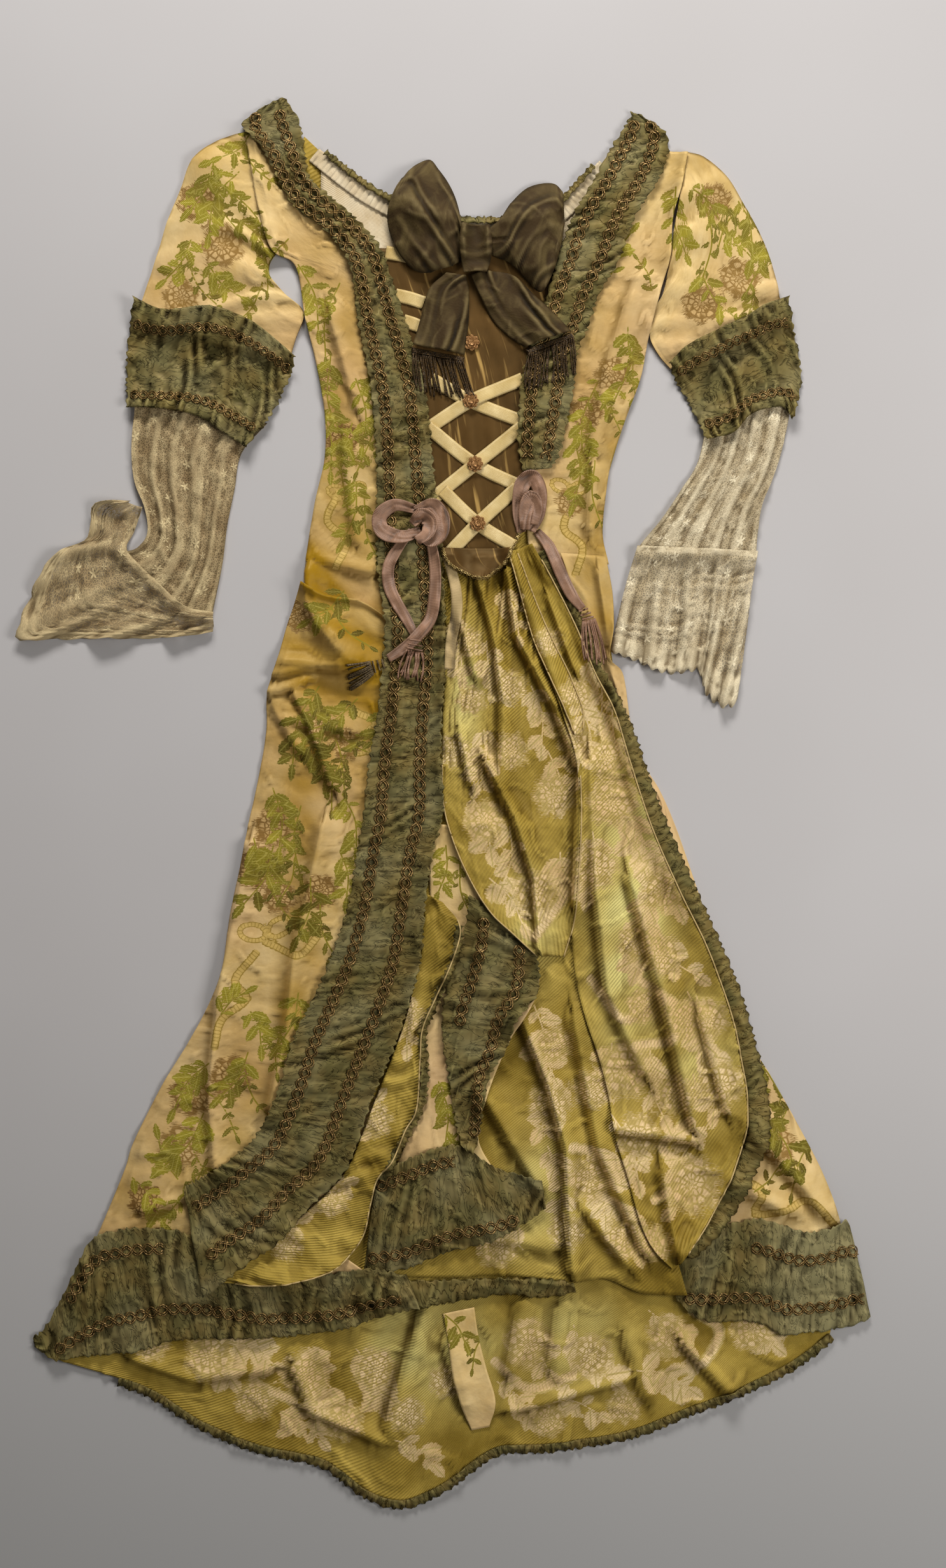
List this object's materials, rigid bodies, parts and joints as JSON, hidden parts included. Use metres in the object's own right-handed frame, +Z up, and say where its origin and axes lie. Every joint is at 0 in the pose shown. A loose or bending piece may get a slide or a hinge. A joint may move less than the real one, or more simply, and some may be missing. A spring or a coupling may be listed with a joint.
{
  "type": "robe a la francaise laid flat",
  "caption": "Open-fronted brocade gown laid flat on its back, with ruched bands, lace sleeve frills, a stomacher and bows.",
  "frame": {"origin": "on the surface it lies on, under the centre of the garment's box", "axes": "+Y from the hem to the neck, +X to the right as seen from above, +Z up from the surface"},
  "size_m": [0.9601, 1.5961, 0.0385],
  "materials": {
    "brocade_face": "woven silk brocade, soft sheen",
    "brocade_reverse": "ribbed twill reverse of the brocade",
    "linen": "plain linen",
    "ruched_silk": "shot silk, gathered",
    "braid": "openwork metallic braid",
    "lame": "metallic ribbed silk",
    "gold_ribbon": "metallic ribbon",
    "copper_ribbon": "wound metallic ribbon",
    "velvet": "pile velvet",
    "mauve_ribbon": "satin ribbon",
    "lace_greige": "fine net lace",
    "lace_cream": "fine net lace"
  },
  "bodies": {
    "root": {"back_lining": "linen", "band_middle": "ruched_silk", "bodice_left": "brocade_face", "bodice_right": "brocade_face", "bow_fringe_left": "velvet", "bow_fringe_right": "velvet", "bow_knot": "velvet", "bow_loop_left": "velvet", "bow_loop_right": "velvet", "bow_tail_left": "velvet", "bow_tail_right": "velvet", "cuff_left": "ruched_silk", "cuff_right": "ruched_silk", "edge_ruffle": "ruched_silk", "facing_strip": "linen", "front_flap": "brocade_reverse", "front_right_turned": "brocade_reverse", "front_turn_left": "brocade_reverse", "hem_band_left": "ruched_silk", "hem_band_middle": "ruched_silk", "hem_band_right": "ruched_silk", "hem_roll_middle": "ruched_silk", "lace_flounce_left": "lace_greige", "lace_flounce_right": "lace_cream", "lace_sleeve_left": "lace_greige", "lace_sleeve_right": "lace_cream", "lattice_ribbon_1": "gold_ribbon", "lattice_ribbon_2": "gold_ribbon", "lattice_ribbon_3": "gold_ribbon", "mauve_bow_left": "mauve_ribbon", "mauve_bow_right": "mauve_ribbon", "mauve_tail_left_1": "mauve_ribbon", "mauve_tail_left_2": "mauve_ribbon", "mauve_tail_right": "mauve_ribbon", "neck_band": "linen", "pleat_loop": "brocade_reverse", "robing_braid_left_1": "braid", "robing_braid_left_2": "braid", "robing_braid_right_1": "braid", "robing_braid_right_2": "braid", "robing_left": "ruched_silk", "robing_right": "ruched_silk", "robing_roll_right": "ruched_silk", "rosette_1": "copper_ribbon", "rosette_2": "copper_ribbon", "rosette_3": "copper_ribbon", "rosette_4": "copper_ribbon", "sack_back": "brocade_reverse", "seam_strip": "brocade_face", "skirt_inner": "brocade_reverse", "skirt_left": "brocade_face", "skirt_middle": "brocade_face", "skirt_side_right": "brocade_face", "sleeve_left": "brocade_face", "sleeve_right": "brocade_face", "stomacher": "lame", "tassel_1": "mauve_ribbon", "tassel_2": "mauve_ribbon", "tassel_3": "mauve_ribbon", "train_binding": "ruched_silk"}
  },
  "joints": []
}
